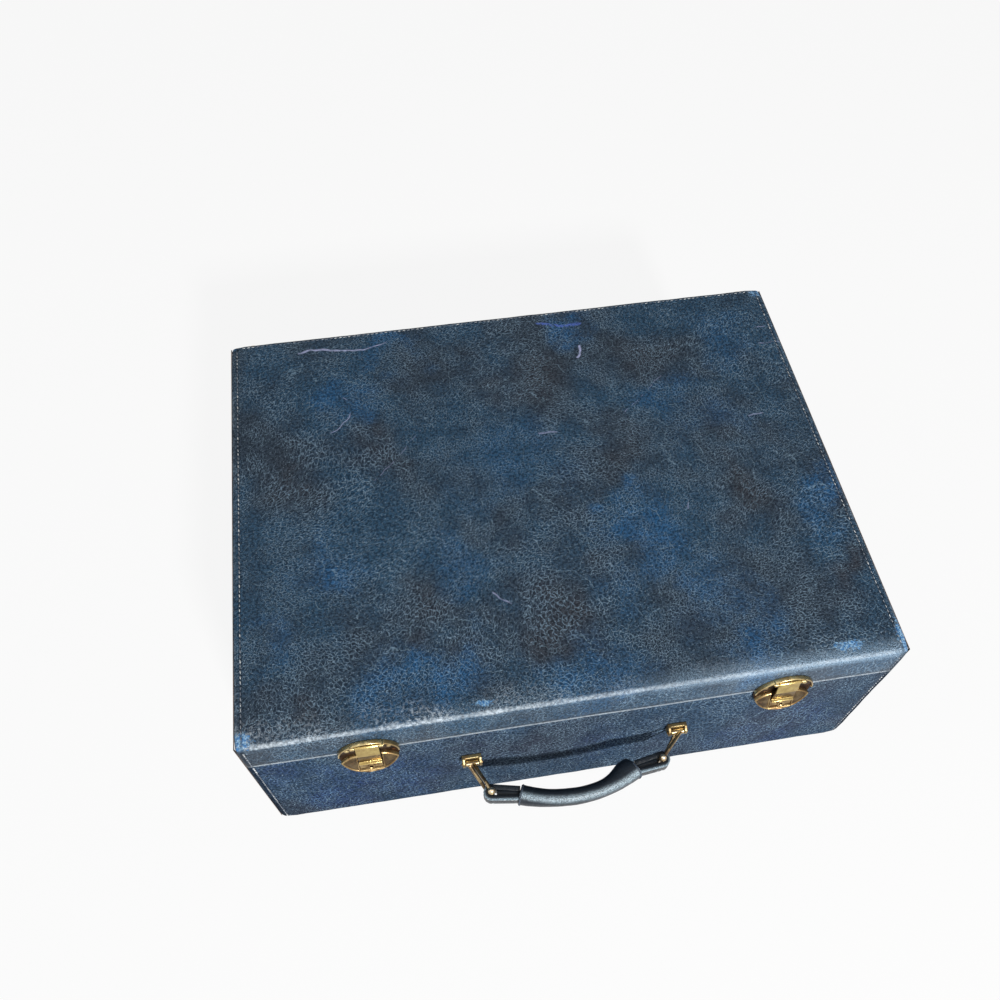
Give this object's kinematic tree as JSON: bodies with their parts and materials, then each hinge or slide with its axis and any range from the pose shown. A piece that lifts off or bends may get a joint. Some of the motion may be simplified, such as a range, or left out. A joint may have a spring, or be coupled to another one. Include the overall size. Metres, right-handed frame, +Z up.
{
  "type": "hard attache case",
  "caption": "Leather covered hard travel case with a hinged lid, round snap locks, a bailed padded handle, slotted lid stays and domed feet on its back wall.",
  "frame": {"origin": "centre of the underside of the closed case", "axes": "+X to the right across the width, +Y from the front face with the handle to the hinged back, +Z up"},
  "size_m": [0.41, 0.361, 0.151],
  "materials": {
    "leather_cover": "pebbled navy hide, creased and scuffed",
    "leather_trim": "thin turned edge",
    "board": "plain board",
    "lining": "woven paper-backed cloth",
    "grip_leather": "pebbled, polished by the hand",
    "brass": "worn brass",
    "old_brass": "tarnished brass",
    "steel": "plated steel"
  },
  "bodies": {
    "base": {"base_board": "board", "base_cover": "leather_cover", "base_lining": "lining", "base_binding": "leather_trim", "base_feet": "brass", "hinge_base_leaf_left": "old_brass", "hinge_base_leaf_right": "old_brass", "hinge_pin_left": "steel", "hinge_pin_right": "steel", "hinge_base_rivets": "old_brass", "lock_body_left": "old_brass", "lock_body_right": "old_brass", "lock_spring_left": "steel", "lock_spring_right": "steel", "lock_back_plates": "steel", "lock_rivets": "steel", "handle_bracket_left": "brass", "handle_bracket_right": "brass", "bracket_pin_left": "old_brass", "bracket_pin_right": "old_brass", "bracket_back_plates": "steel", "stay_stud_left": "steel", "stay_stud_right": "steel"},
    "lid": {"lid_board": "board", "lid_cover": "leather_cover", "lid_lining": "lining", "lid_binding": "leather_trim", "lid_feet": "brass", "hinge_lid_leaf_left": "old_brass", "hinge_lid_leaf_right": "old_brass", "hinge_lid_rivets": "old_brass", "lid_plate_left": "old_brass", "lid_plate_right": "old_brass", "lid_plate_rivets": "old_brass", "hasp_pin_left": "brass", "hasp_pin_right": "brass", "stay_pivot_left": "steel", "stay_pivot_right": "steel"},
    "left_hasp": {"hasp_left": "brass"},
    "right_hasp": {"hasp_right": "brass"},
    "left_slide": {"lock_slide_left": "brass"},
    "right_slide": {"lock_slide_right": "brass"},
    "left_stay": {"stay_arm_left": "steel"},
    "right_stay": {"stay_arm_right": "steel"},
    "handle": {"handle_link_left": "brass", "handle_link_right": "brass", "link_pins": "brass", "handle_strap": "grip_leather", "grip_core": "board", "grip_wrap": "grip_leather"}
  },
  "joints": [
    {"name": "lid_hinge", "type": "hinge", "parent": "base", "child": "lid", "pos_m": [0, 0.1584, 0.12], "axis": [-1, 0, 0], "range_deg": [0, 98]},
    {"name": "left_stay_pivot", "type": "hinge", "parent": "lid", "child": "left_stay", "pos_m": [-0.1953, 0.0936, 0.13], "axis": [1, 0, 0], "range_deg": [0, 49]},
    {"name": "left_hasp_hinge", "type": "hinge", "parent": "lid", "child": "left_hasp", "pos_m": [-0.1305, -0.15835, 0.135], "axis": [-1, 0, 0], "range_deg": [0, 110]},
    {"name": "left_slide_travel", "type": "slide", "parent": "base", "child": "left_slide", "axis": [0, 0, -1], "range_m": [0, 0.002], "stiffness_N_per_m": 400, "springref_m": -0.002, "deforming": ["lock_spring_left"]},
    {"name": "right_stay_pivot", "type": "hinge", "parent": "lid", "child": "right_stay", "pos_m": [0.1953, 0.0936, 0.13], "axis": [1, 0, 0], "range_deg": [0, 49]},
    {"name": "right_hasp_hinge", "type": "hinge", "parent": "lid", "child": "right_hasp", "pos_m": [0.1305, -0.15835, 0.135], "axis": [-1, 0, 0], "range_deg": [0, 110]},
    {"name": "right_slide_travel", "type": "slide", "parent": "base", "child": "right_slide", "axis": [0, 0, -1], "range_m": [0, 0.002], "stiffness_N_per_m": 400, "springref_m": -0.002, "deforming": ["lock_spring_right"]},
    {"name": "handle_swing", "type": "hinge", "parent": "base", "child": "handle", "pos_m": [0, -0.1598, 0.0765], "axis": [1, 0, 0], "range_deg": [-68, 68]}
  ],
  "couplings": [
    {"joint": "left_stay_pivot", "follows": "lid_hinge", "ratio": 0.5},
    {"joint": "right_stay_pivot", "follows": "lid_hinge", "ratio": 0.5}
  ]
}
